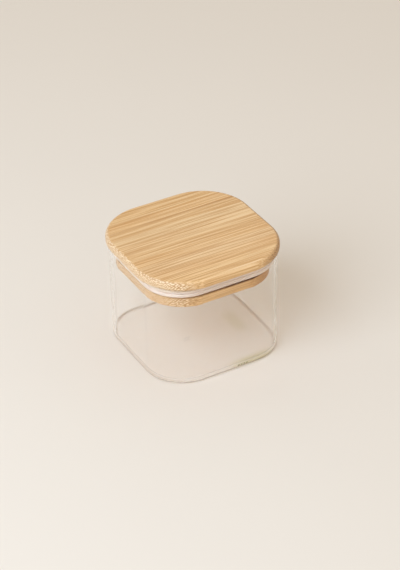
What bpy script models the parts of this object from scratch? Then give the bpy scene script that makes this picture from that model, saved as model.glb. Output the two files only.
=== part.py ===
"""Square glass food jar with a milled bamboo lid and a two-lipped silicone seal.

Metres, +Z up. The origin is the centre of the jar's foot, on the surface it stands on.
The lid's grain runs along X. Every piece is drawn in its closed, resting place.
"""

import math

import bmesh
import bpy

# Glass jar
JAR_WIDTH = 0.0942
JAR_HEIGHT = 0.0713
JAR_CORNER = 0.0272
GLASS_WALL = 0.0020
GLASS_BASE = 0.0024
HEEL_ROUND = 0.0016
FLOOR_ROUND = 0.0008
RIM_ROUND = 0.0008

# Shallow push-up in the middle of the base, with the small dimple that forming leaves
PUSH_UP_RADIUS = 0.0350
PUSH_UP_RISE = 0.0007
DIMPLE_RADIUS = 0.0030
DIMPLE_DEPTH = 0.0003

# Bamboo lid
LID_OVERHANG = 0.0029
LID_CORNER_EASE = 0.0068
PLATE_THICKNESS = 0.0066
PLATE_TOP_ROUND = 0.0027
PLATE_UNDER_ROUND = 0.0022
PLUG_DEPTH = 0.0154
PLUG_CLEARANCE = 0.0018
PLUG_CORNER_EASE = 0.0023
PLUG_ROUND = 0.0006
FLANGE_HEIGHT = 0.0065
GROOVE_DEPTH = 0.0030
GROOVE_LAND = 0.0010

# Silicone seal: a band in the groove with two lips that curl up against the glass
SEAL_BAND = 0.0014
SEAL_FOOT_REACH = 0.0013
LIP_COUNT = 2
LIP_THICKNESS = 0.0009
LIP_RISE = 0.0008
LIP_FACE = 0.0021
LIP_TIP_ROUND = 0.0003
UPPER_ROOT_SHARE = 0.5

# Fits
SEAT_GAP = 0.0003
SEAL_GAP = 0.0003

# How finely the curves are drawn
CORNER_STEPS = 18
ROUND_STEPS = 5
TURN_STEPS = 48
PUSH_UP_STEPS = 6
DIMPLE_STEPS = 3
ARC_PROFILE = 0.5
CUT_MARGIN = 0.0020
SHADE_ANGLE = math.radians(32)
RIM_ANGLE = math.radians(55)
LEVEL_ANGLE = math.radians(2.5)

# Points closer than this are one point
WELD = 0.000001

# Each material's colour, roughness and share of light let through
MATERIALS = {
    "clear_glass": ((0.93, 0.95, 0.92), 0.03, 1.0),
    "bamboo": ((0.72, 0.47, 0.23), 0.55, 0.0),
    "milky_silicone": ((0.80, 0.76, 0.72), 0.38, 0.0),
}

# Heights and outlines that follow from the sizes above
MOUTH_HALF = JAR_WIDTH / 2 - GLASS_WALL
MOUTH_CORNER = JAR_CORNER - GLASS_WALL
PLATE_UNDERSIDE = JAR_HEIGHT + SEAT_GAP
LID_TOP = PLATE_UNDERSIDE + PLATE_THICKNESS
PLUG_BOTTOM = PLATE_UNDERSIDE - PLUG_DEPTH
GROOVE_BOTTOM = PLUG_BOTTOM + FLANGE_HEIGHT
GROOVE_TOP = PLATE_UNDERSIDE - GROOVE_LAND
SEAL_BOTTOM = GROOVE_BOTTOM + SEAL_GAP
SEAL_TOP = GROOVE_TOP - SEAL_GAP


class Outline:
    """A square with rounded corners, given by its half width and corner radius."""

    def __init__(self, half, corner):
        self.half = half
        self.corner = corner

    def inset(self, distance):
        """The parallel outline that lies the distance further in."""
        return Outline(self.half - distance, self.corner - distance)

    def toward(self, other, share):
        """The outline that lies the given share of the way to another one."""
        half = self.half + (other.half - self.half) * share
        corner = self.corner + (other.corner - self.corner) * share
        return Outline(half, corner)

    def points(self):
        """Corner arcs joined by straight sides, anticlockwise from the +X side."""
        reach = self.half - self.corner
        found = []
        for quarter in range(4):
            start = quarter * math.pi / 2
            centre_angle = start + math.pi / 4
            centre_x = reach * math.copysign(1, math.cos(centre_angle))
            centre_y = reach * math.copysign(1, math.sin(centre_angle))
            for step in range(CORNER_STEPS + 1):
                angle = start + math.pi / 2 * step / CORNER_STEPS
                x = centre_x + self.corner * math.cos(angle)
                y = centre_y + self.corner * math.sin(angle)
                found.append((x, y))
        return found


JAR_OUTLINE = Outline(JAR_WIDTH / 2, JAR_CORNER)
MOUTH_OUTLINE = Outline(MOUTH_HALF, MOUTH_CORNER)
PLATE_OUTLINE = Outline(JAR_WIDTH / 2 + LID_OVERHANG, JAR_CORNER + LID_CORNER_EASE)
PLUG_OUTLINE = Outline(MOUTH_HALF - PLUG_CLEARANCE, MOUTH_CORNER + PLUG_CORNER_EASE)
CORE_OUTLINE = PLUG_OUTLINE.inset(GROOVE_DEPTH)


def clear_scene():
    """Remove every object that the scene holds."""
    for obj in list(bpy.data.objects):
        bpy.data.objects.remove(obj, do_unlink=True)


def new_collection(name):
    """Add a collection to the scene."""
    collection = bpy.data.collections.new(name)
    bpy.context.scene.collection.children.link(collection)
    return collection


def make_material(name):
    """A Principled material from the table of materials, with no metal in it."""
    color, roughness, transmission = MATERIALS[name]
    material = bpy.data.materials.new(name)
    material.use_nodes = True
    shader = material.node_tree.nodes["Principled BSDF"]
    shader.inputs["Base Color"].default_value = (*color, 1.0)
    shader.inputs["Roughness"].default_value = roughness
    shader.inputs["Metallic"].default_value = 0.0
    shader.inputs["Transmission Weight"].default_value = transmission
    return material


def add_mesh_object(name, mesh, collection):
    """Put a mesh into the scene as an object of the given collection."""
    obj = bpy.data.objects.new(name, mesh)
    collection.objects.link(obj)
    return obj


def evaluated_mesh(obj):
    """A mesh of the object with its curves filled and its modifiers applied."""
    depsgraph = bpy.context.evaluated_depsgraph_get()
    depsgraph.update()
    return bpy.data.meshes.new_from_object(obj.evaluated_get(depsgraph), depsgraph=depsgraph)


def make_slab(name, outline, bottom, top, collection):
    """A flat solid of the given outline, drawn as a filled curve and made a mesh."""
    curve = bpy.data.curves.new(name, "CURVE")
    curve.dimensions = "2D"
    curve.fill_mode = "BOTH"
    curve.extrude = (top - bottom) / 2
    corners = outline.points()
    spline = curve.splines.new("POLY")
    spline.points.add(len(corners) - 1)
    for point, (x, y) in zip(spline.points, corners):
        point.co = (x, y, 0.0, 1.0)
    spline.use_cyclic_u = True
    drawn = bpy.data.objects.new(name + "_outline", curve)
    collection.objects.link(drawn)
    drawn.location.z = (top + bottom) / 2
    bpy.context.view_layer.update()
    mesh = evaluated_mesh(drawn)
    mesh.transform(drawn.matrix_world)
    bpy.data.objects.remove(drawn, do_unlink=True)
    weld_and_flatten(mesh)
    return add_mesh_object(name, mesh, collection)


def weld_and_flatten(mesh):
    """Weld the curve's loose caps, and turn each cap into one flat face."""
    shape = bmesh.new()
    shape.from_mesh(mesh)
    bmesh.ops.remove_doubles(shape, verts=shape.verts, dist=WELD)
    flat = [edge for edge in shape.edges if is_flat(edge)]
    bmesh.ops.dissolve_edges(shape, edges=flat, use_verts=False)
    bmesh.ops.recalc_face_normals(shape, faces=shape.faces)
    shape.to_mesh(mesh)
    shape.free()


def is_flat(edge):
    """Whether an edge lies inside one level cap."""
    level = all(abs(face.normal.z) > math.cos(LEVEL_ANGLE) for face in edge.link_faces)
    return len(edge.link_faces) == 2 and level


def round_edge(obj, height, radius, steps=ROUND_STEPS):
    """Round the edge that runs round a solid at the given height."""
    shape = bmesh.new()
    shape.from_mesh(obj.data)
    found = [edge for edge in shape.edges if all(abs(vert.co.z - height) < WELD for vert in edge.verts)]
    bmesh.ops.bevel(
        shape,
        geom=found,
        offset=radius,
        offset_type="OFFSET",
        segments=steps,
        profile=ARC_PROFILE,
        affect="EDGES",
        clamp_overlap=True,
    )
    shape.to_mesh(obj.data)
    shape.free()


def cut(target, cutter, operation="DIFFERENCE"):
    """Combine a solid with another one, and hide the other from renders."""
    modifier = target.modifiers.new(cutter.name, "BOOLEAN")
    modifier.object = cutter
    modifier.operation = operation
    modifier.solver = "EXACT"
    cutter.hide_render = True
    cutter.display_type = "WIRE"


def shade_round(obj):
    """Shade curves smooth and keep true edges sharp."""
    obj.data.shade_smooth()
    obj.data.set_sharp_from_angle(angle=SHADE_ANGLE)


def push_up_profile(base_height):
    """Half section of the push-up with its dimple, from the axis outward, closed below."""
    steps = []
    for step in range(DIMPLE_STEPS):
        steps.append(DIMPLE_RADIUS * step / DIMPLE_STEPS)
    for step in range(PUSH_UP_STEPS + 1):
        steps.append(DIMPLE_RADIUS + (PUSH_UP_RADIUS - DIMPLE_RADIUS) * step / PUSH_UP_STEPS)
    points = []
    for radius in steps:
        height = PUSH_UP_RISE * (1 - (radius / PUSH_UP_RADIUS) ** 2)
        if radius < DIMPLE_RADIUS:
            height -= DIMPLE_DEPTH * (1 + math.cos(math.pi * radius / DIMPLE_RADIUS)) / 2
        points.append((radius, base_height + height))
    last_slope = 2 * PUSH_UP_RISE / PUSH_UP_RADIUS
    points.append((PUSH_UP_RADIUS + CUT_MARGIN, base_height - last_slope * CUT_MARGIN))
    points.append((PUSH_UP_RADIUS + CUT_MARGIN, base_height - CUT_MARGIN))
    points.append((0.0, base_height - CUT_MARGIN))
    return points


def make_push_up(name, base_height, collection):
    """The push-up's dome as a turned solid whose rim lies at the given height."""
    profile = push_up_profile(base_height)
    mesh = bpy.data.meshes.new(name)
    shape = bmesh.new()
    verts = [shape.verts.new((radius, 0.0, height)) for radius, height in profile]
    for first, second in zip(verts, verts[1:]):
        shape.edges.new((first, second))
    shape.to_mesh(mesh)
    shape.free()
    obj = add_mesh_object(name, mesh, collection)
    screw = obj.modifiers.new("turn", "SCREW")
    screw.axis = "Z"
    screw.angle = math.tau
    screw.steps = TURN_STEPS
    screw.render_steps = TURN_STEPS
    screw.use_merge_vertices = True
    screw.merge_threshold = WELD
    return obj


def make_glass_jar(parts, cutters):
    """Square jar: an upright shell, thickest at the heel, with a rounded rim."""
    cavity = make_slab("jar_cavity", MOUTH_OUTLINE, GLASS_BASE, JAR_HEIGHT + CUT_MARGIN, cutters)
    round_edge(cavity, GLASS_BASE, FLOOR_ROUND)
    dome = make_push_up("jar_floor_dome", GLASS_BASE, cutters)
    cut(cavity, dome)
    hollow = make_push_up("jar_push_up", 0.0, cutters)
    jar = make_slab("glass_jar", JAR_OUTLINE, 0.0, JAR_HEIGHT, parts)
    round_edge(jar, 0.0, HEEL_ROUND)
    cut(jar, cavity)
    cut(jar, hollow)
    rim = jar.modifiers.new("rim", "BEVEL")
    rim.width = RIM_ROUND
    rim.segments = ROUND_STEPS - 1
    rim.limit_method = "ANGLE"
    rim.angle_limit = RIM_ANGLE
    shade_round(jar)
    return jar


def make_bamboo_lid(parts, cutters):
    """Lid milled from one block: plate, plug, the seal's groove and the flange under it."""
    lid = make_slab("bamboo_lid", PLATE_OUTLINE, PLATE_UNDERSIDE, LID_TOP, parts)
    round_edge(lid, LID_TOP, PLATE_TOP_ROUND)
    round_edge(lid, PLATE_UNDERSIDE, PLATE_UNDER_ROUND)
    plug_top = PLATE_UNDERSIDE + PLATE_THICKNESS / 2
    plug = make_slab("lid_plug", PLUG_OUTLINE, PLUG_BOTTOM, plug_top, cutters)
    round_edge(plug, PLUG_BOTTOM, PLUG_ROUND)
    outside = PLUG_OUTLINE.inset(-CUT_MARGIN)
    groove = make_slab("lid_groove", outside, GROOVE_BOTTOM, GROOVE_TOP, cutters)
    core_bottom = GROOVE_BOTTOM - CUT_MARGIN
    core_top = GROOVE_TOP + CUT_MARGIN
    core = make_slab("lid_core", CORE_OUTLINE, core_bottom, core_top, cutters)
    cut(groove, core)
    cut(plug, groove)
    cut(lid, plug, "UNION")
    shade_round(lid)
    return lid


def seal_sections():
    """The seal's cross-section as outlines with heights, once round the ring's section.

    The band's inner face and the foot follow the lid's plug, and the lips follow the jar's
    mouth, whose corners are tighter, so the lips reach further at the corners than along
    the sides.
    """
    inner = CORE_OUTLINE.inset(-SEAL_GAP)
    foot = PLUG_OUTLINE.inset(-SEAL_FOOT_REACH)
    band = inner.inset(-SEAL_BAND)
    mouth = MOUTH_OUTLINE.inset(SEAL_GAP)
    pitch = (SEAL_TOP - SEAL_BOTTOM) / LIP_COUNT
    sections = [(inner, SEAL_BOTTOM)]
    for number in range(LIP_COUNT):
        low = SEAL_BOTTOM + number * pitch
        face_low = low + LIP_RISE
        face_high = face_low + LIP_FACE
        root = foot if number == 0 else band.toward(mouth, UPPER_ROOT_SHARE)
        sections.append((root, low))
        sections.append((mouth, face_low))
        sections.append((mouth, face_high))
        sections.append((mouth.inset(LIP_TIP_ROUND), face_high + LIP_TIP_ROUND))
        sections.append((mouth.inset(LIP_THICKNESS), face_high))
        sections.append((band, face_high - LIP_THICKNESS))
    sections.append((band, SEAL_TOP))
    sections.append((inner, SEAL_TOP))
    return sections


def make_silicone_seal(parts):
    """The ring, lofted through its unlike sections: core outside, mouth inside."""
    mesh = bpy.data.meshes.new("silicone_seal")
    shape = bmesh.new()
    loops = []
    for outline, height in seal_sections():
        loops.append([shape.verts.new((x, y, height)) for x, y in outline.points()])
    for number, loop in enumerate(loops):
        following = loops[(number + 1) % len(loops)]
        for place in range(len(loop)):
            beyond = (place + 1) % len(loop)
            shape.faces.new((loop[place], loop[beyond], following[beyond], following[place]))
    bmesh.ops.recalc_face_normals(shape, faces=shape.faces)
    shape.to_mesh(mesh)
    shape.free()
    seal = add_mesh_object("silicone_seal", mesh, parts)
    shade_round(seal)
    return seal


def build():
    """Model the three pieces and give each its own material."""
    clear_scene()
    parts = new_collection("lidded_glass_jar")
    cutters = new_collection("cutters")
    jar = make_glass_jar(parts, cutters)
    lid = make_bamboo_lid(parts, cutters)
    seal = make_silicone_seal(parts)
    jar.data.materials.append(make_material("clear_glass"))
    lid.data.materials.append(make_material("bamboo"))
    seal.data.materials.append(make_material("milky_silicone"))


build()
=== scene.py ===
"""Looks for the square glass jar with its milled bamboo lid and silicone seal.

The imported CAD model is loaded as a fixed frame. Each piece is modelled again with finer
curves in the place of its CAD node, dressed, and set to ride on its body. Metres, +Z up,
with the lid's grain along X and the origin under the middle of the jar's foot.
"""

import logging
import math
from dataclasses import dataclass
from dataclasses import field
from enum import Enum
from typing import Callable

import bmesh
import bpy
from mathutils import Matrix
from mathutils import Vector


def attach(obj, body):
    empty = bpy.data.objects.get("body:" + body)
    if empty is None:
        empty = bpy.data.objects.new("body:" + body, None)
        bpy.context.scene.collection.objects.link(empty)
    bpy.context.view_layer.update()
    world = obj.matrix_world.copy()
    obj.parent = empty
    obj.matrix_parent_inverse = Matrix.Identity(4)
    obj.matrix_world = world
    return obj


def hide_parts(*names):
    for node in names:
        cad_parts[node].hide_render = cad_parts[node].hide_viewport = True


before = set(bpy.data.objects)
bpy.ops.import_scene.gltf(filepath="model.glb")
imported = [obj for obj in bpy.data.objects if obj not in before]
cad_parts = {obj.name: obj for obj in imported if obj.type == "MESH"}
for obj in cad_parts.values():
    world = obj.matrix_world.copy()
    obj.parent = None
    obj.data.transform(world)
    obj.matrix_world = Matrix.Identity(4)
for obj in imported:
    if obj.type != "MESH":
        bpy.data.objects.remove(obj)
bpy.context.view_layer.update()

MM = 0.001

# Heights and places closer than this are the same
LEVEL = 1e-5

# The upward part of a normal is more than the first in a flat face, and less than the
# second in a wall
FLAT = 0.9
STEEP = 0.5

# The profile that makes a bevel a true arc
ARC = 0.5

log = logging.getLogger("lidded_jar")

Colour = tuple[float, float, float, float]
Triple = tuple[float, float, float]

# Where a smooth step is 0, and where it is 1
Span = tuple[float, float]


def screen_colour(red: int, shadow_olive: int, blue: int) -> Colour:
    """Turn a colour as it looks on a screen into the linear one that a shader takes.

    Args:
        red: Red, from 0 to 255.
        shadow_olive: Green, from 0 to 255.
        blue: Blue, from 0 to 255.

    Returns:
        The linear colour, with full opacity.
    """
    linear = []
    for step in (red, shadow_olive, blue):
        share = step / 255
        linear.append(share / 12.92 if share <= 0.04045 else ((share + 0.055) / 1.055) ** 2.4)
    return (*linear, 1.0)


class Body(Enum):
    """The CAD bodies that pieces ride on."""

    JAR = "jar"
    LID = "lid"


class Slot(Enum):
    """Names of the material slots."""

    GLASS = "clear_glass"
    BAMBOO = "bamboo"
    SILICONE = "milky_silicone"


class Signal:
    """A value in a shader: one output socket, with arithmetic that adds Math nodes."""

    def __init__(self, recipe: "Recipe", socket: bpy.types.NodeSocket) -> None:
        """Hold a socket of a recipe."""
        self.recipe = recipe
        self.socket = socket

    def _maths(self, operation: str, first: "Operand", second: "Operand" = 0.0) -> "Signal":
        """Add one Math node for two operands."""
        return self.recipe.node("ShaderNodeMath", {"operation": operation}, {0: first, 1: second})

    def __add__(self, other: "Operand") -> "Signal":
        """Sum of this and another."""
        return self._maths("ADD", self, other)

    __radd__ = __add__

    def __sub__(self, other: "Operand") -> "Signal":
        """This less another."""
        return self._maths("SUBTRACT", self, other)

    def __rsub__(self, other: "Operand") -> "Signal":
        """Another less this."""
        return self._maths("SUBTRACT", other, self)

    def __mul__(self, other: "Operand") -> "Signal":
        """Product of this and another."""
        return self._maths("MULTIPLY", self, other)

    __rmul__ = __mul__

    def __truediv__(self, other: "Operand") -> "Signal":
        """This divided by another."""
        return self._maths("DIVIDE", self, other)

    def __rtruediv__(self, other: "Operand") -> "Signal":
        """Another divided by this."""
        return self._maths("DIVIDE", other, self)

    def __gt__(self, other: "Operand") -> "Signal":
        """1 where this is above another, and 0 elsewhere."""
        return self._maths("GREATER_THAN", self, other)

    def floor(self) -> "Signal":
        """The whole number below this."""
        return self._maths("FLOOR", self)

    def fraction(self) -> "Signal":
        """What is left above the whole number below this."""
        return self._maths("FRACT", self)

    def size(self) -> "Signal":
        """This without its sign."""
        return self._maths("ABSOLUTE", self)

    def step(self, low: float, high: float) -> "Signal":
        """Rise smoothly from 0 to 1, or fall if low is the greater.

        Args:
            low: Where the step is 0.
            high: Where it is 1.

        Returns:
            The step.
        """
        return self.recipe.node(
            "ShaderNodeMapRange",
            {"interpolation_type": "SMOOTHSTEP"},
            {"Value": self, "From Min": low, "From Max": high},
        )

    def near(self, centre: float, outer: float, inner: float) -> "Signal":
        """1 within the inner distance of a centre, falling to 0 at the outer one."""
        return (self - centre).size().step(outer, inner)


Operand = Signal | float


class Recipe:
    """The node tree of one material, or of the world."""

    def __init__(self, owner: bpy.types.Material | bpy.types.World, shader: str) -> None:
        """Open a node tree.

        Args:
            owner: What the tree belongs to.
            shader: The name of the shader node that is already in it.
        """
        owner.use_nodes = True
        self.owner = owner
        self.tree = owner.node_tree
        self.shader = self.tree.nodes[shader]

    @classmethod
    def of_material(cls, name: str) -> "Recipe":
        """Start a new material's tree."""
        return cls(bpy.data.materials.new(name), "Principled BSDF")

    def plug(self, socket: bpy.types.NodeSocket, value: object) -> None:
        """Give a socket a link or a constant.

        Args:
            socket: The input socket.
            value: A Signal to link, or the constant to set.
        """
        if isinstance(value, Signal):
            self.tree.links.new(value.socket, socket)
        else:
            socket.default_value = value

    def node(
        self,
        kind: str,
        settings: dict[str, object] | None = None,
        inputs: dict[str | int, object] | None = None,
        output: str | int = 0,
    ) -> Signal:
        """Add a node.

        Args:
            kind: The node's type.
            settings: Its settings by name, set first. "bands" are a ramp's colours.
            inputs: Values or links by the name or number of the socket.
            output: The output socket that is wanted.

        Returns:
            The wanted output.
        """
        made = self.tree.nodes.new(kind)
        for name, value in (settings or {}).items():
            if name == "bands":
                self._set_bands(made.color_ramp, value)
            else:
                setattr(made, name, value)
        for name, value in (inputs or {}).items():
            self.plug(made.inputs[name], value)
        return Signal(self, made.outputs[output])

    def _set_bands(self, ramp: bpy.types.ColorRamp, colours: tuple[Colour, ...]) -> None:
        """Give a ramp equally wide bands, each of one colour.

        Args:
            ramp: The ramp.
            colours: The bands' colours, from its start to its end.
        """
        ramp.interpolation = "CONSTANT"
        while len(ramp.elements) < len(colours):
            ramp.elements.new(1.0)
        for number, colour in enumerate(colours):
            ramp.elements[number].position = number / len(colours)
            ramp.elements[number].color = colour

    def place(self) -> Signal:
        """The point on the piece, in metres, as a vector."""
        return self.node("ShaderNodeTexCoord", output="Object")

    def facing(self) -> Signal:
        """The way that the surface faces, as a vector."""
        return self.node("ShaderNodeTexCoord", output="Normal")

    def axes(self, vector: Signal) -> tuple[Signal, Signal, Signal]:
        """Take a vector apart into its three numbers.

        Args:
            vector: The vector.

        Returns:
            Its x, y and z.
        """
        split = self.node("ShaderNodeSeparateXYZ", inputs={0: vector})
        outputs = split.socket.node.outputs
        return tuple(Signal(self, outputs[number]) for number in range(3))

    def vector(self, x: Operand, y: Operand, z: Operand) -> Signal:
        """Put three numbers together as a vector."""
        return self.node("ShaderNodeCombineXYZ", inputs={0: x, 1: y, 2: z})

    def noise(self, vector: Signal, scale: float = 1.0, detail: float = 1.0) -> Signal:
        """Make smooth noise.

        Args:
            vector: Where it is read.
            scale: The number of waves per unit of the vector.
            detail: How many rounds of finer waves lie over them.

        Returns:
            The noise, from 0 to 1.
        """
        return self.node(
            "ShaderNodeTexNoise", inputs={"Vector": vector, "Scale": scale, "Detail": detail}
        )

    def cells(self, vector: Signal, spread: float) -> Signal:
        """Lay out the points of an uneven flat grid of unit pitch.

        Args:
            vector: Where the grid is read.
            spread: How far the points stray from their places, from 0 to 1.

        Returns:
            The distance to the nearest point.
        """
        return self.node(
            "ShaderNodeTexVoronoi",
            {"feature": "F1", "voronoi_dimensions": "2D"},
            {"Vector": vector, "Scale": 1.0, "Randomness": spread},
            output="Distance",
        )

    def chance(self, number: Signal) -> Signal:
        """Pick a number that looks random but is always the same for one input.

        Args:
            number: The input.

        Returns:
            A number from 0 to 1.
        """
        return self.node(
            "ShaderNodeTexWhiteNoise", {"noise_dimensions": "1D"}, {"W": number}, output="Value"
        )

    def blend(self, share: Operand, first: object, second: object) -> Signal:
        """Mix two colours.

        Args:
            share: The share of the second colour.
            first: The first colour.
            second: The second colour.

        Returns:
            The mixed colour.
        """
        return self.node(
            "ShaderNodeMix", {"data_type": "RGBA"}, {0: share, 6: first, 7: second}, output=2
        )

    def bump(self, height: Signal, depth: float, strength: float) -> Signal:
        """Turn a height into a normal.

        Args:
            height: The height, in steps.
            depth: How high one step is, in metres.
            strength: How strongly it shows.

        Returns:
            The normal.
        """
        return self.node(
            "ShaderNodeBump",
            inputs={"Strength": strength, "Distance": depth, "Height": height},
        )

    def absorb(self, colour: Colour, density: float) -> None:
        """Fill the piece with a clear stain that is seen through thick glass."""
        stain = self.node(
            "ShaderNodeVolumeAbsorption", inputs={"Color": colour, "Density": density}
        )
        self.plug(self.tree.nodes["Material Output"].inputs["Volume"], stain)

    def finish(self, **sockets: object) -> bpy.types.Material | bpy.types.World:
        """Set the shader's sockets.

        Args:
            sockets: Links or constants by the sockets' names, with _ in place of spaces.

        Returns:
            The material or world that the tree belongs to.
        """
        for name, value in sockets.items():
            self.plug(self.shader.inputs[name.replace("_", " ")], value)
        return self.owner


@dataclass(frozen=True)
class Streak:
    """One kind of long fibre.

    The share is how much it counts, the width is in fibre pitches, and the changes are how
    often its tone changes in a metre of grain.
    """

    share: float
    width: float
    changes: float


@dataclass(frozen=True)
class BambooFinish:
    """Laminated bamboo: strips glued side by side, with fibres that all run along X.

    The strips' tones run from the front edge of the lid to the back edge.
    """

    strip: float = 9.0 * MM
    tones: tuple[Colour, ...] = (
        screen_colour(229, 185, 128),
        screen_colour(229, 185, 128),
        screen_colour(227, 182, 127),
        screen_colour(232, 193, 143),
        screen_colour(224, 178, 121),
        screen_colour(223, 180, 125),
        screen_colour(227, 187, 135),
        screen_colour(229, 193, 143),
        screen_colour(222, 179, 123),
        screen_colour(221, 173, 113),
        screen_colour(222, 178, 120),
        screen_colour(222, 178, 120),
    )
    fibre: Colour = screen_colour(190, 138, 80)
    pale: Colour = screen_colour(246, 213, 164)
    # End grain in a painted lit copy and a painted shaded copy
    lit_pores: Colour = screen_colour(194, 148, 100)
    lit_dots: Colour = screen_colour(249, 226, 189)
    shaded_end_ground: Colour = screen_colour(205, 162, 110)
    shaded_end_bundles: Colour = screen_colour(160, 115, 70)
    # Painted shadow under the seal's lip
    lip_shadow: Colour = screen_colour(120, 78, 50)
    # Painted highlight on the front edge
    edge_highlight: Colour = screen_colour(255, 226, 184)

    # Fibres, as they wander and as their tones change from strip to strip
    fibre_pitch: float = 0.8 * MM
    wander: float = 0.8 * MM
    wander_along: float = 9.0
    wander_across: float = 30.0
    strip_shift: float = 0.37
    streaks: tuple[Streak, ...] = (Streak(3.8, 0.5, 18), Streak(0.1, 1.0, 13), Streak(0.3, 2.4, 10))
    streak_gain: float = 2.2
    streak_span: Span = (0.05, 0.5)
    fibre_share: float = 0.65
    pale_share: float = 0.6

    # Glue lines between the strips, one of them darker than the rest
    joint_share: float = 0.45
    joint_seed: float = 3.3
    joint_width: Span = (0.05, 0.01)
    darkest_joint: float = 26.4 * MM
    darkest_share: float = 0.7
    darkest_width: Span = (1.5 * MM, 0.4 * MM)
    darkest_span: Span = (-60 * MM, 0.0)

    # Cut ends of the fibre bundles, with painted light on the ends that face -X and painted shade
    # on those that face +X
    bundle_pitch: float = 1.0 * MM
    bundle_turn: float = math.radians(33.0)
    bundle_spread: float = 0.5
    bundle_span: Span = (0.5, 0.26)
    end_span: Span = (0.1, 0.55)
    shaded_end_span: Span = (-0.5, 0.5)

    # Plug, which is darker, with painted shade at its right, and painted shadow in its groove under
    # the seal's lip
    plug_span: Span = (66 * MM, 64 * MM)
    plug_darkening: float = 0.3
    streak_stain: float = 0.4
    stained_span: Span = (0.0, 0.5)
    # Painted shade at the plug's right, away from the light
    right_shade: float = 0.5
    right_shade_span: Span = (0.0, 35 * MM)
    groove_bottom: Span = (62.0 * MM, 62.5 * MM)
    groove_top: Span = (71.5 * MM, 70.5 * MM)
    groove_shadow: float = 0.2
    right_groove_shadow: float = 0.7
    groove_shadow_span: Span = (-30 * MM, 10 * MM)

    # Painted highlight along the front edge
    highlight_facing: float = -0.2
    highlight_turn: Span = (0.16, 0.06)
    highlight_share: float = 0.7
    highlight_left: Span = (-12 * MM, 8 * MM)
    highlight_right: Span = (26 * MM, 20 * MM)
    highlight_height: Span = (75 * MM, 76 * MM)

    roughness: float = 0.42
    streak_roughness: float = 0.12
    streak_relief: float = 0.8
    bundle_relief: float = 0.5
    bump_depth: float = 0.05 * MM
    bump_strength: float = 0.6

    def make(self) -> bpy.types.Material:
        """Build the material.

        Returns:
            The lid's material.
        """
        recipe = Recipe.of_material("bamboo_laminate")
        x, y, z = recipe.axes(recipe.place())
        wavy = recipe.vector(x * self.wander_along, y * self.wander_across, z * self.wander_across)
        y = y + (recipe.noise(wavy) - 0.5) * self.wander
        streaks = self._streaks(recipe, x, y, z)
        darker = streaks.step(*self.streak_span) * self.fibre_share
        paler = (0.0 - streaks).step(*self.streak_span) * self.pale_share
        colour = recipe.blend(darker, self._strips(recipe, y), self.fibre)
        colour = recipe.blend(paler, colour, self.pale)
        colour = recipe.blend(self._joints(recipe, x, y), colour, self.fibre)
        dots = self._bundles(recipe, y, z)
        colour = self._ends(recipe, colour, dots)
        colour = recipe.blend(self._darker_plug(x, z, streaks, dots), colour, self.fibre)
        # Painted shadow in the groove under the seal's lip
        colour = recipe.blend(self._groove_shadow(x, z), colour, self.lip_shadow)
        colour = recipe.blend(self._edge_highlight(recipe, x, z), colour, self.edge_highlight)
        height = (0.0 - streaks) * self.streak_relief + dots * self.bundle_relief
        return recipe.finish(
            Base_Color=colour,
            Roughness=self.roughness + streaks * self.streak_roughness,
            Normal=recipe.bump(height, self.bump_depth, self.bump_strength),
        )

    def _strips(self, recipe: Recipe, y: Signal) -> Signal:
        """Give each strip its tone.

        Args:
            recipe: The material's recipe.
            y: How far across the lid the point is.

        Returns:
            The tone of the strip there.
        """
        width = self.strip * len(self.tones)
        across = (y + width / 2) / width
        return recipe.node("ShaderNodeValToRGB", {"bands": self.tones}, {0: across})

    def _streaks(self, recipe: Recipe, x: Signal, y: Signal, z: Signal) -> Signal:
        """Draw the long fibres, of three widths.

        Args:
            recipe: The material's recipe.
            x: How far along the grain the point is.
            y: How far across the lid it is.
            z: How high it is.

        Returns:
            A number above 0 where the fibre is dark, and below 0 where it is pale.
        """
        shift = (y / self.strip).floor() * self.strip_shift
        total = 0.0
        for streak in self.streaks:
            scale = 1 / (streak.width * self.fibre_pitch)
            along = (x + shift) * streak.changes
            lines = recipe.noise(recipe.vector(along, y * scale, z * scale))
            total = (lines - 0.5) * (self.streak_gain * streak.share) + total
        return total

    def _joints(self, recipe: Recipe, x: Signal, y: Signal) -> Signal:
        """Draw the glue lines between the strips.

        Args:
            recipe: The material's recipe.
            x: How far along the grain the point is.
            y: How far across the lid it is.

        Returns:
            How dark the line there is, and 0 beside the lines.
        """
        across = y / self.strip + 0.5
        line = across.fraction().near(0.5, *self.joint_width)
        plain = line * recipe.chance(across.floor() + self.joint_seed) * self.joint_share
        darkest = y.near(self.darkest_joint, *self.darkest_width)
        return plain + darkest * x.step(*self.darkest_span) * self.darkest_share

    def _bundles(self, recipe: Recipe, y: Signal, z: Signal) -> Signal:
        """Draw the cut fibre bundles, as dots on a turned grid that is a little uneven.

        Args:
            recipe: The material's recipe.
            y: How far across the lid the point is.
            z: How high it is.

        Returns:
            1 in the middle of a dot, falling to 0 between the dots.
        """
        cosine = math.cos(self.bundle_turn)
        sine = math.sin(self.bundle_turn)
        across = (y * cosine + z * sine) / self.bundle_pitch
        up = (z * cosine - y * sine) / self.bundle_pitch
        cells = recipe.cells(recipe.vector(across, up, 0.0), self.bundle_spread)
        return cells.step(*self.bundle_span)

    def _ends(self, recipe: Recipe, colour: Signal, dots: Signal) -> Signal:
        """Show the cut ends of the fibres where the surface faces along X, painted lit where it
        faces -X and painted shaded where it faces +X.

        Args:
            recipe: The material's recipe.
            colour: The colour of the long grain.
            dots: Where the cut bundles are.

        Returns:
            The colour with the cut ends.
        """
        along, _, _ = recipe.axes(recipe.facing())
        lit_end = recipe.blend(dots, self.lit_pores, self.lit_dots)
        shaded_end = recipe.blend(dots, self.shaded_end_ground, self.shaded_end_bundles)
        # Painted light on the ends that face -X, painted shade on those that face +X
        end_grain = recipe.blend(along.step(*self.shaded_end_span), lit_end, shaded_end)
        return recipe.blend(along.size().step(*self.end_span), colour, end_grain)

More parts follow.
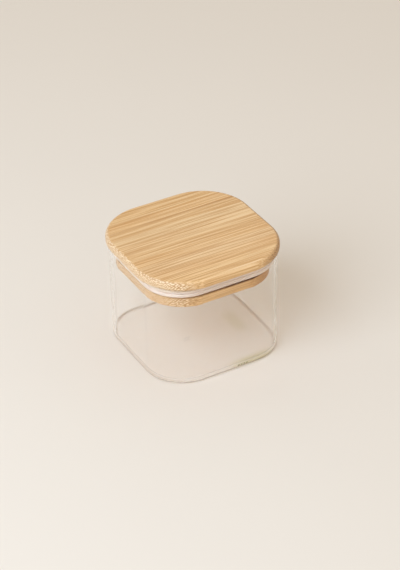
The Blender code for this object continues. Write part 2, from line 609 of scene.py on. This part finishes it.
    def _darker_plug(self, x: Signal, z: Signal, streaks: Signal, dots: Signal) -> Signal:
        """Make the plug darker than the plate and along its dark fibres, with painted shade at its
        right.

        Args:
            x: How far along the grain the point is.
            z: How high it is.
            streaks: The long fibres.
            dots: Where the cut bundles are.

        Returns:
            How much darker the wood is there.
        """
        plug = z.step(*self.plug_span)
        streaky = streaks.step(*self.stained_span) * self.streak_stain
        right = x.step(*self.right_shade_span) * self.right_shade
        return plug * (self.plug_darkening - dots * self.plug_darkening + streaky + right)

    def _groove_shadow(self, x: Signal, z: Signal) -> Signal:
        """How much painted shadow falls in the groove under the seal's lip, most at its right."""
        groove = z.step(*self.groove_bottom) * z.step(*self.groove_top)
        return groove * (self.groove_shadow + x.step(*self.groove_shadow_span) * self.right_groove_shadow)

    def _edge_highlight(self, recipe: Recipe, x: Signal, z: Signal) -> Signal:
        """Find where a highlight is painted: a pale line along the front edge, just as the top
        turns down.

        Args:
            recipe: The material's recipe.
            x: How far along the grain the point is.
            z: How high it is.

        Returns:
            How strong the painted highlight is there.
        """
        _, across, _ = recipe.axes(recipe.facing())
        turn = across.near(self.highlight_facing, *self.highlight_turn)
        stretch = x.step(*self.highlight_left) * x.step(*self.highlight_right)
        return turn * stretch * z.step(*self.highlight_height) * self.highlight_share


@dataclass(frozen=True)
class GlassFinish:
    """Clear moulded glass: faintly wavy, warm in its thickness, a little dull at the heel."""

    clear: Colour = screen_colour(255, 255, 255)
    # Olive of the painted shadows in the heel and in the base
    shadow_olive: Colour = screen_colour(236, 235, 214)
    dark: Colour = screen_colour(108, 96, 68)
    rim: Colour = screen_colour(214, 216, 200)
    stain: Colour = (0.80, 0.78, 0.55, 1.0)
    density: float = 1.5
    ior: float = 1.14
    heel_dullness: float = 0.12
    heel_span: Span = (4 * MM, 2 * MM)
    waves: float = 45.0
    wave_depth: float = 0.03 * MM
    wave_strength: float = 0.03

    # A trace of warm gloss all over, and more on the rim, which is tinted too
    gloss: float = 0.002
    gloss_ior: float = 1.5
    gloss_roughness: float = 0.02
    gloss_tint: Colour = (1.0, 0.84, 0.62, 1.0)
    rim_gloss: float = 0.2
    rim_share: float = 0.5
    rim_span: Span = (70.2 * MM, 70.9 * MM)

    # Painted shadow, olive, in the right half of the front heel
    heel_shadow_front: Span = (-38 * MM, -45 * MM)
    heel_shadow_right: Span = (-4 * MM, 14 * MM)

    # Row of four mould dots low on the front wall's outside
    first_dot: float = 6.1 * MM
    dot_pitch: float = 2.03 * MM
    dot_width: Span = (0.32, 0.2)
    dot_height: float = 2.1 * MM
    dot_rise: Span = (0.8 * MM, 0.4 * MM)
    dot_face: Span = (-46.2 * MM, -46.5 * MM)
    middle_dot: float = 1.5
    row_reach: Span = (2.2, 1.8)

    # Painted olive shadow patch in the base, and the faint mark near its middle that forming leaves
    floor_span: Span = (5 * MM, 4 * MM)
    shadow_patch: tuple[float, float] = (29.0 * MM, -2.5 * MM)
    shadow_patch_width: Span = (7 * MM, 1 * MM)
    shadow_patch_length: Span = (16 * MM, 6 * MM)
    shadow_patch_share: float = 0.28
    swirl: tuple[float, float] = (-8.4 * MM, -4.5 * MM)
    swirl_width: Span = (4 * MM, 1 * MM)
    swirl_length: Span = (1.5 * MM, 0.2 * MM)
    swirl_share: float = 0.12

    def make(self) -> bpy.types.Material:
        """Build the material.

        Returns:
            The jar's material.
        """
        recipe = Recipe.of_material("clear_moulded_glass")
        recipe.absorb(self.stain, self.density)
        x, y, z = recipe.axes(recipe.place())
        waves = recipe.noise(recipe.place(), self.waves)
        rim = z.step(*self.rim_span)
        colour = self._heel_shadow(recipe, x, y, z)
        colour = self._mould_dots(recipe, x, y, z, colour)
        colour = self._base_marks(recipe, x, y, z, colour)
        return recipe.finish(
            Base_Color=recipe.blend(rim * self.rim_share, colour, self.rim),
            Roughness=z.step(*self.heel_span) * self.heel_dullness,
            IOR=self.ior,
            Transmission_Weight=1.0,
            Coat_Weight=rim * self.rim_gloss + self.gloss,
            Coat_IOR=self.gloss_ior,
            Coat_Roughness=self.gloss_roughness,
            Coat_Tint=self.gloss_tint,
            Normal=recipe.bump(waves, self.wave_depth, self.wave_strength),
        )

    def _heel_shadow(self, recipe: Recipe, x: Signal, y: Signal, z: Signal) -> Signal:
        """Clear glass, with painted olive shadow in the right half of the front heel."""
        front = y.step(*self.heel_shadow_front) * z.step(*self.heel_span)
        return recipe.blend(front * x.step(*self.heel_shadow_right), self.clear, self.shadow_olive)

    def _mould_dots(
        self, recipe: Recipe, x: Signal, y: Signal, z: Signal, colour: Signal
    ) -> Signal:
        """Add the row of small dark dots that the mould leaves.

        Args:
            recipe: The material's recipe.
            x: How far to the right the point is.
            y: How far back it is.
            z: How high it is.
            colour: The glass's colour so far.

        Returns:
            The colour with the dots.
        """
        across = (x - self.first_dot) / self.dot_pitch + 0.5
        in_row = across.floor().near(self.middle_dot, *self.row_reach)
        beside = across.fraction().near(0.5, *self.dot_width)
        level = z.near(self.dot_height, *self.dot_rise)
        dots = y.step(*self.dot_face) * in_row * beside * level
        return recipe.blend(dots, colour, self.dark)

    def _base_marks(
        self, recipe: Recipe, x: Signal, y: Signal, z: Signal, colour: Signal
    ) -> Signal:
        """Add the painted olive shadow patch and the forming mark to the base.

        Args:
            recipe: The material's recipe.
            x: How far to the right the point is.
            y: How far back it is.
            z: How high it is.
            colour: The glass's colour so far.

        Returns:
            The colour with the painted shadow and the mark.
        """
        floor = z.step(*self.floor_span)
        shadow_patch = x.near(self.shadow_patch[0], *self.shadow_patch_width) * y.near(self.shadow_patch[1], *self.shadow_patch_length)
        colour = recipe.blend(shadow_patch * floor * self.shadow_patch_share, colour, self.shadow_olive)
        swirl = x.near(self.swirl[0], *self.swirl_width) * y.near(self.swirl[1], *self.swirl_length)
        return recipe.blend(swirl * floor * self.swirl_share, colour, self.dark)


@dataclass(frozen=True)
class SiliconeFinish:
    """Milky silicone with a soft sheen, and painted shade that makes its lower lip browner."""

    milk: Colour = screen_colour(235, 221, 209)
    shade: Colour = screen_colour(222, 205, 192)
    # Painted shade on the lower lip, which curves in away from the light
    lower_lip_shade: Colour = screen_colour(196, 168, 146)
    lower_lip_shade_share: float = 0.5
    lower_lip_shade_span: Span = (66 * MM, 64 * MM)
    clouds: float = 160.0
    grain: float = 2600.0
    roughness: float = 0.3
    grain_roughness: float = 0.15
    grain_depth: float = 0.02 * MM
    grain_strength: float = 0.4
    scatter: Triple = (1.0, 0.95, 0.9)
    scatter_depth: float = 2.5 * MM

    def make(self) -> bpy.types.Material:
        """Build the material.

        Returns:
            The seal's material.
        """
        recipe = Recipe.of_material("milky_silicone_rubber")
        _, _, z = recipe.axes(recipe.place())
        cloud = recipe.noise(recipe.place(), self.clouds, 3.0)
        fine = recipe.noise(recipe.place(), self.grain, 2.0)
        # Painted shade on the lower lip
        lower_lip_shade = z.step(*self.lower_lip_shade_span) * self.lower_lip_shade_share
        colour = recipe.blend(cloud, self.milk, self.shade)
        return recipe.finish(
            Base_Color=recipe.blend(lower_lip_shade, colour, self.lower_lip_shade),
            Roughness=self.roughness + fine * self.grain_roughness,
            Subsurface_Weight=1.0,
            Subsurface_Radius=self.scatter,
            Subsurface_Scale=self.scatter_depth,
            Normal=recipe.bump(fine, self.grain_depth, self.grain_strength),
        )


@dataclass(frozen=True)
class FloorFinish:
    """Matt cream paper."""

    cream: Colour = screen_colour(236, 228, 217)
    cloud: Colour = screen_colour(234, 226, 215)
    clouds: float = 6.0
    roughness: float = 0.9
    gloss: float = 0.2

    def make(self) -> bpy.types.Material:
        """Build the material.

        Returns:
            The floor's material.
        """
        recipe = Recipe.of_material("cream_paper")
        cloud = recipe.noise(recipe.place(), self.clouds, 2.0)
        return recipe.finish(
            Base_Color=recipe.blend(cloud, self.cream, self.cloud),
            Roughness=self.roughness,
            Specular_IOR_Level=self.gloss,
        )


@dataclass(frozen=True)
class Outline:
    """A level square outline with round corners."""

    half: float
    corner: float
    height: float = 0.0

    def at(self, height: float) -> "Outline":
        """The same outline at another height."""
        return Outline(self.half, self.corner, height)

    def toward(self, other: "Outline", share: float, height: float) -> "Outline":
        """The outline that lies part of the way to another.

        Args:
            other: The outline at a share of 1.
            share: How far to go.
            height: The new outline's height.

        Returns:
            The new outline.
        """
        half = self.half + (other.half - self.half) * share
        corner = self.corner + (other.corner - self.corner) * share
        return Outline(half, corner, height)

    def holds(self, point: Vector) -> bool:
        """Say whether a point lies on the outline.

        Args:
            point: The point.

        Returns:
            Whether it does.
        """
        core = self.half - self.corner
        out = math.hypot(max(abs(point.x) - core, 0.0), max(abs(point.y) - core, 0.0))
        return abs(point.z - self.height) < LEVEL and abs(out - self.corner) < LEVEL


Test = Callable[[object], bool]


class Workpiece:
    """One mesh on the bench: a primitive that edit-mode tools shape into a piece."""

    def __init__(self, name: str) -> None:
        """Take the primitive that was just added and open it for editing.

        Args:
            name: The piece's name.
        """
        bpy.ops.object.transform_apply(location=True, rotation=True, scale=True)
        self.obj = bpy.context.object
        self.obj.name = name
        self.obj.data.name = name
        bpy.ops.object.mode_set(mode="EDIT")

    @classmethod
    def block(cls, name: str, size: Vector, bottom: float) -> "Workpiece":
        """Start with an upright block over the origin.

        Args:
            name: The piece's name.
            size: Its three sides.
            bottom: The height of its lower face.

        Returns:
            The block, open for editing.
        """
        centre = (0.0, 0.0, bottom + size.z / 2)
        bpy.ops.object.select_all(action="DESELECT")
        bpy.ops.mesh.primitive_cube_add(size=1.0, location=centre, scale=size)
        return cls(name)

    @classmethod
    def loft(cls, name: str, outlines: list[Outline], steps: int) -> "Workpiece":
        """Start with a closed ring that is stretched over a loop of outlines.

        Args:
            name: The piece's name.
            outlines: The ring's outlines in order, the last one next to the first.
            steps: The number of edges in each round corner.

        Returns:
            The ring, open for editing.
        """
        bpy.ops.object.select_all(action="DESELECT")
        bpy.ops.mesh.primitive_plane_add(size=1.0)
        piece = cls(name)
        bpy.ops.mesh.delete(type="VERT")
        for outline in outlines:
            piece.draw(outline, steps)
        for first, second in zip(outlines, outlines[1:] + outlines[:1]):
            piece.pick_edges(lambda e: cls._on_one(e, first) or cls._on_one(e, second))
            bpy.ops.mesh.bridge_edge_loops()
        bpy.ops.mesh.select_all(action="SELECT")
        bpy.ops.mesh.normals_make_consistent(inside=False)
        return piece

    @staticmethod
    def _on_one(edge: bmesh.types.BMEdge, outline: Outline) -> bool:
        """Whether an edge lies along an outline."""
        return all(outline.holds(vertex.co) for vertex in edge.verts)

    def draw(self, outline: Outline, steps: int) -> None:
        """Add an outline's edges: a square whose corners are rounded.

        Args:
            outline: The outline.
            steps: The number of edges in each round corner.
        """
        centre = (0.0, 0.0, outline.height)
        bpy.context.tool_settings.mesh_select_mode = (True, False, False)
        bpy.ops.mesh.primitive_plane_add(size=2 * outline.half, location=centre)
        bpy.ops.mesh.bevel(offset=outline.corner, segments=steps, profile=ARC, affect="VERTICES")
        bpy.ops.mesh.delete(type="ONLY_FACE")

    def _select(self, kind: str, modes: tuple[bool, bool, bool], test: Test) -> None:
        """Select the elements of one kind that pass a test, and nothing else.

        Args:
            kind: "edges" or "faces".
            modes: Whether points, edges and faces are what is selected.
            test: Says whether an element is wanted.
        """
        bpy.context.tool_settings.mesh_select_mode = modes
        bpy.ops.mesh.select_all(action="DESELECT")
        shape = bmesh.from_edit_mesh(self.obj.data)
        for element in getattr(shape, kind):
            if test(element):
                element.select_set(True)
        shape.select_flush_mode()
        bmesh.update_edit_mesh(self.obj.data)

    def pick_edges(self, test: Test) -> "Workpiece":
        """Select the edges that pass a test."""
        self._select("edges", (False, True, False), test)
        return self

    def pick_uprights(self) -> "Workpiece":
        """Select the edges that run up and down."""
        return self.pick_edges(lambda e: abs(e.verts[0].co.z - e.verts[1].co.z) > LEVEL)

    def pick_outline(self, outline: Outline) -> "Workpiece":
        """Select the edges along an outline."""
        return self.pick_edges(lambda edge: self._on_one(edge, outline))

    def pick_faces(self, height: float, low: float, high: float) -> "Workpiece":
        """Select faces by their place and by the way they face.

        Args:
            height: The height of their middles.
            low: The least upward part of their normals.
            high: The greatest upward part of their normals.

        Returns:
            The same piece.
        """
        self._select(
            "faces",
            (False, False, True),
            lambda f: low < f.normal.z < high and abs(f.calc_center_median().z - height) < LEVEL,
        )
        return self

    def pick_tops(self, height: float) -> "Workpiece":
        """Select the level faces at a height that face up."""
        return self.pick_faces(height, FLAT, math.inf)

    def pick_undersides(self, height: float) -> "Workpiece":
        """Select the level faces at a height that face down."""
        return self.pick_faces(height, -math.inf, -FLAT)

    def pick_walls(self, height: float) -> "Workpiece":
        """Select the upright faces whose middles are at a height."""
        return self.pick_faces(height, -STEEP, STEEP)

    def bevel(self, width: float, segments: int) -> "Workpiece":
        """Round the edges that are selected."""
        bpy.ops.mesh.bevel(
            offset=width, segments=segments, profile=ARC, affect="EDGES", clamp_overlap=False
        )
        return self

    def inset(self, width: float) -> "Workpiece":
        """Draw the selected face in from its border."""
        bpy.ops.mesh.inset(thickness=width, depth=0.0, use_even_offset=True)
        return self

    def extrude(self, rise: float) -> "Workpiece":
        """Draw the selected faces out, straight up or down."""
        bpy.ops.mesh.extrude_region_move(TRANSFORM_OT_translate={"value": (0.0, 0.0, rise)})
        return self

    def swell(self, distance: float) -> "Workpiece":
        """Draw the selected faces out along their normals."""
        bpy.ops.mesh.extrude_region_shrink_fatten(
            TRANSFORM_OT_shrink_fatten={"value": distance, "use_even_offset": True}
        )
        return self

    def shrink(self, share: float, rise: float) -> "Workpiece":
        """Draw the selected face in towards the axis, and up.

        Args:
            share: The share of its size that is left.
            rise: How far up it goes.

        Returns:
            The same piece.
        """
        self.extrude(rise)
        bpy.ops.transform.resize(value=(share, share, 1.0), center_override=(0.0, 0.0, 0.0))
        return self

    def close(self) -> "Workpiece":
        """Close the selected face with a fan of triangles."""
        bpy.ops.mesh.poke()
        return self

    def done(self, smooth: float) -> bpy.types.Object:
        """Leave edit mode, shade the curves smooth and hold the flats flat.

        Args:
            smooth: Edges that turn by less than this many degrees are shaded smooth.

        Returns:
            The finished object.
        """
        bpy.ops.mesh.select_all(action="SELECT")
        bpy.ops.mesh.remove_doubles(threshold=LEVEL / 10)
        bpy.ops.object.mode_set(mode="OBJECT")
        bpy.ops.object.shade_smooth_by_angle(angle=math.radians(smooth))
        weighted = self.obj.modifiers.new("flats", "WEIGHTED_NORMAL")
        weighted.keep_sharp = True
        bpy.ops.object.modifier_apply(modifier=weighted.name)
        return self.obj


def dress(
    obj: bpy.types.Object, material: bpy.types.Material, body: Body, node: str
) -> bpy.types.Object:
    """Give a piece its material and its place in the frame.

    Args:
        obj: The piece.
        material: Its finish.
        body: The body that it rides on.
        node: The CAD node that it stands for.

    Returns:
        The same piece.
    """
    obj.data.materials.clear()
    obj.data.materials.append(material)
    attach(obj, body.value)
    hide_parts(node)
    log.info("%s: %d faces on body %s", obj.name, len(obj.data.polygons), body.value)
    return obj


@dataclass
class GlassJar:
    """The square jar, moulded in one piece."""

    width: float = 94.2 * MM
    height: float = 71.3 * MM
    corner: float = 27.2 * MM
    wall: float = 2.0 * MM
    base: float = 2.4 * MM
    heel: float = 1.6 * MM
    floor_round: float = 0.8 * MM
    rim: float = 0.8 * MM
    bearing: float = 8.0 * MM
    rise: float = 0.7 * MM
    dimple_depth: float = 0.3 * MM
    dimple_share: float = 0.08
    dome_rings: int = 12
    dimple_rings: int = 8
    corner_steps: int = 64
    round_steps: int = 16
    rim_steps: int = 5
    smooth: float = 50.0
    finish: GlassFinish = field(default_factory=GlassFinish)

    def build(self) -> bpy.types.Object:
        """Model the jar and dress it.

        Returns:
            The jar.
        """
        size = Vector((self.width, self.width, self.height))
        piece = Workpiece.block("glass_shell", size, 0.0)
        piece.pick_uprights().bevel(self.corner, self.corner_steps)
        piece.pick_tops(self.height).inset(self.wall).extrude(self.base - self.height)
        self._push_up(piece.pick_tops(self.base), 0.0)
        self._push_up(piece.pick_undersides(0.0), self.dimple_depth)
        outside = Outline(self.width / 2, self.corner)
        inside = Outline(self.width / 2 - self.wall, self.corner - self.wall)
        piece.pick_outline(inside.at(self.base)).bevel(self.floor_round, self.round_steps)
        piece.pick_outline(outside).bevel(self.heel, self.round_steps)
        piece.pick_outline(outside.at(self.height)).bevel(self.rim, self.rim_steps)
        piece.pick_outline(inside.at(self.height)).bevel(self.rim, self.rim_steps)
        made = piece.done(self.smooth)
        return dress(made, self.finish.make(), Body.JAR, "glass_jar")

    def _push_up(self, piece: Workpiece, dimple: float) -> None:
        """Raise the middle of the floor, or of the foot, in a shallow dome.

        Args:
            piece: The jar on the bench, with the flat face selected.
            dimple: How much further the forming mark in the middle goes up.
        """
        piece.inset(self.bearing)
        dome = [1.0 - ring / self.dome_rings for ring in range(1, self.dome_rings)]
        within = [1.0 - ring / self.dimple_rings for ring in range(self.dimple_rings)]
        mark = [self.dimple_share * share for share in within]
        reach = 1.0
        height = 0.0
        for wanted in dome + mark:
            rise = self.rise * (1 - wanted**2)
            if wanted < self.dimple_share:
                rise += dimple * (1 - (wanted / self.dimple_share) ** 2) ** 2
            piece.shrink(wanted / reach, rise - height)
            reach = wanted
            height = rise
        piece.close()


@dataclass
class BambooLid:
    """The lid: one laminated block, milled to a plate, a plug, a groove and a flange."""

    width: float = 100.0 * MM
    corner: float = 34.0 * MM
    underside: float = 71.6 * MM
    thickness: float = 6.6 * MM
    top_round: float = 2.7 * MM
    under_round: float = 2.2 * MM
    plug: Outline = Outline(43.3 * MM, 27.5 * MM)
    land: float = 1.0 * MM
    groove: float = 7.9 * MM
    groove_depth: float = 3.0 * MM
    flange: float = 6.5 * MM
    flange_round: float = 0.6 * MM
    corner_steps: int = 32
    round_steps: int = 8
    flange_steps: int = 4
    smooth: float = 35.0
    finish: BambooFinish = field(default_factory=BambooFinish)

    def build(self) -> bpy.types.Object:
        """Model the lid and dress it.

        Returns:
            The lid.
        """
        size = Vector((self.width, self.width, self.thickness))
        piece = Workpiece.block("bamboo_block", size, self.underside)
        piece.pick_uprights().bevel(self.corner, self.corner_steps)
        rim = Outline(self.width / 2, self.corner)
        top = self.underside + self.thickness
        piece.pick_outline(rim.at(top)).bevel(self.top_round, self.round_steps)
        piece.pick_outline(rim.at(self.underside)).bevel(self.under_round, self.round_steps)
        self._mill_plug(piece)
        made = piece.done(self.smooth)
        return dress(made, self.finish.make(), Body.LID, "bamboo_lid")

    def _mill_plug(self, piece: Workpiece) -> None:
        """Draw the plug down from the plate, and cut the seal's groove round it.

        Args:
            piece: The lid on the bench.
        """
        groove_top = self.underside - self.land
        groove_bottom = groove_top - self.groove
        piece.pick_undersides(self.underside)
        piece.inset(self.width / 2 - self.plug.half - self.under_round)
        piece.extrude(-self.land).extrude(-self.groove).extrude(-self.flange)
        piece.pick_walls((groove_top + groove_bottom) / 2).swell(-self.groove_depth)
        for height in (groove_bottom, groove_bottom - self.flange):
            piece.pick_outline(self.plug.at(height)).bevel(self.flange_round, self.flange_steps)


@dataclass
class SiliconeSeal:
    """The ring in the lid's groove: a band with two soft lips that lie along the glass.

    How far out a lip reaches is a share, from 0 at the band to 1 next to the glass.
    """

    inner: Outline = Outline(40.6 * MM, 24.8 * MM)
    band: Outline = Outline(42.0 * MM, 26.2 * MM)
    face: Outline = Outline(44.8 * MM, 24.9 * MM)
    bottom: float = 63.0 * MM
    parting: float = 67.4 * MM
    top: float = 70.3 * MM
    band_ends: tuple[float, float] = (0.5 * MM, 0.4 * MM)
    root: float = 0.2
    valley: float = 0.74
    bulge: float = 0.8
    lean: float = 0.7
    lip_steps: int = 12
    corner_steps: int = 32
    smooth: float = 50.0
    finish: SiliconeFinish = field(default_factory=SiliconeFinish)

    def build(self) -> bpy.types.Object:
        """Model the seal and dress it.

        Returns:
            The seal.
        """
        low = self.bottom + self.band_ends[0]
        high = self.top - self.band_ends[1]
        outlines = [self.inner.at(self.bottom), self.band.at(self.bottom)]
        outlines += self._lip(low, self.parting, self.root, self.valley)
        outlines += self._lip(self.parting, high, self.valley, self.root)
        outlines += [self.band.at(self.top), self.inner.at(self.top)]
        made = Workpiece.loft("seal_ring", outlines, self.corner_steps).done(self.smooth)
        return dress(made, self.finish.make(), Body.LID, "silicone_seal")

    def _lip(self, low: float, high: float, first: float, last: float) -> list[Outline]:
        """The outlines of one lip, from its root up over its bulge.

        Args:
            low: Where the lip starts.
            high: Where it ends.
            first: How far out it starts.
            last: How far out it ends.

        Returns:
            The outlines, from the lowest up.
        """
        made = []
        for step in range(self.lip_steps):
            turn = math.pi * (step + 0.5) / self.lip_steps
            root = first if turn < math.pi / 2 else last
            share = root + (1.0 - root) * math.sin(turn) ** self.bulge
            height = low + (high - low) * ((1 - math.cos(turn)) / 2) ** self.lean
            made.append(self.band.toward(self.face, share, height))
        return made


@dataclass(frozen=True)
class Softbox:
    """A square soft light that is aimed at the jar, with its power in watts."""

    name: str
    place: Triple
    side: float
    power: float
    colour: Triple
    target: Triple = (0.0, 0.0, 0.03)

    def build(self) -> bpy.types.Object:
        """Add the light.

        Returns:
            The light.
        """
        data = bpy.data.lights.new(self.name, "AREA")
        data.shape = "SQUARE"
        data.size = self.side
        data.energy = self.power
        data.color = self.colour
        light = bpy.data.objects.new(self.name, data)
        light.location = self.place
        aim = Vector(self.target) - Vector(self.place)
        light.rotation_euler = aim.to_track_quat("-Z", "Y").to_euler()
        bpy.context.scene.collection.objects.link(light)
        return light


@dataclass
class Studio:
    """A plain pale floor in a pale room, with soft light from the left."""

    floor_side: float = 6.0
    floor_level: float = -0.05 * MM
    light: Colour = (0.685, 0.63, 0.562, 1.0)
    seen: Colour = (0.84, 0.77, 0.69, 1.0)
    key: Softbox = Softbox("key", (-1.04, -0.35, 0.95), 1.1, 13.7, (0.84, 1.0, 1.2))
    card: Softbox = Softbox("sheen", (0.5, -0.5, 0.95), 0.5, 3.5, (1.0, 0.96, 0.9))
    clear_bounces: int = 64
    matt_bounces: int = 8
    finish: FloorFinish = field(default_factory=FloorFinish)

    def build(self) -> None:
        """Lay the floor and set the lights."""
        centre = (0.0, 0.0, self.floor_level)
        bpy.ops.object.select_all(action="DESELECT")
        bpy.ops.mesh.primitive_plane_add(size=self.floor_side, location=centre)
        floor = bpy.context.object
        floor.name = "paper_floor"
        floor.data.materials.append(self.finish.make())
        self._fill_room()
        self.key.build()
        card = self.card.build()
        card.visible_diffuse = False
        card.visible_transmission = False
        log.info("studio: floor, room, key light and a card that only gives sheen")

    def _fill_room(self) -> None:
        """Fill the surroundings with even light, a little paler where glass and gloss show it."""
        world = bpy.data.worlds.new("pale_room")
        recipe = Recipe(world, "Background")
        bounced = recipe.node("ShaderNodeLightPath", output="Diffuse Depth") > 0.5
        recipe.finish(Color=recipe.blend(bounced, self.seen, self.light), Strength=1.0)
        bpy.context.scene.world = world
        paths = bpy.context.scene.cycles
        paths.max_bounces = self.clear_bounces
        paths.transmission_bounces = self.clear_bounces
        paths.glossy_bounces = self.clear_bounces
        paths.diffuse_bounces = self.matt_bounces
        paths.blur_glossy = 0.0


@dataclass(frozen=True)
class PhotoCamera:
    """The photograph's viewpoint."""

    place: Triple = (-0.46311, -0.84855, 0.69136)
    target: Triple = (0.03178, 0.04874, 0.0)
    roll: float = math.radians(-1.381)
    lens: float = 113.2
    sensor: float = 36.0
    nearest: float = 0.01
    farthest: float = 50.0

    def build(self) -> None:
        """Add the camera and make it the scene's own."""
        data = bpy.data.cameras.new("photo_camera")
        data.lens = self.lens
        data.sensor_width = self.sensor
        data.clip_start = self.nearest
        data.clip_end = self.farthest
        camera = bpy.data.objects.new("photo_camera", data)
        aim = (Vector(self.target) - Vector(self.place)).to_track_quat("-Z", "Y").to_matrix()
        turned = aim @ Matrix.Rotation(self.roll, 3, "Z")
        camera.matrix_world = Matrix.Translation(self.place) @ turned.to_4x4()
        bpy.context.scene.collection.objects.link(camera)
        bpy.context.scene.camera = camera


def main() -> None:
    """Build the pieces, the studio and the camera."""
    logging.basicConfig(level=logging.INFO, format="%(message)s")
    PhotoCamera().build()
    Studio().build()
    GlassJar().build()
    BambooLid().build()
    SiliconeSeal().build()
    bpy.context.scene.view_settings.view_transform = "Standard"


if __name__ == "__main__":
    main()
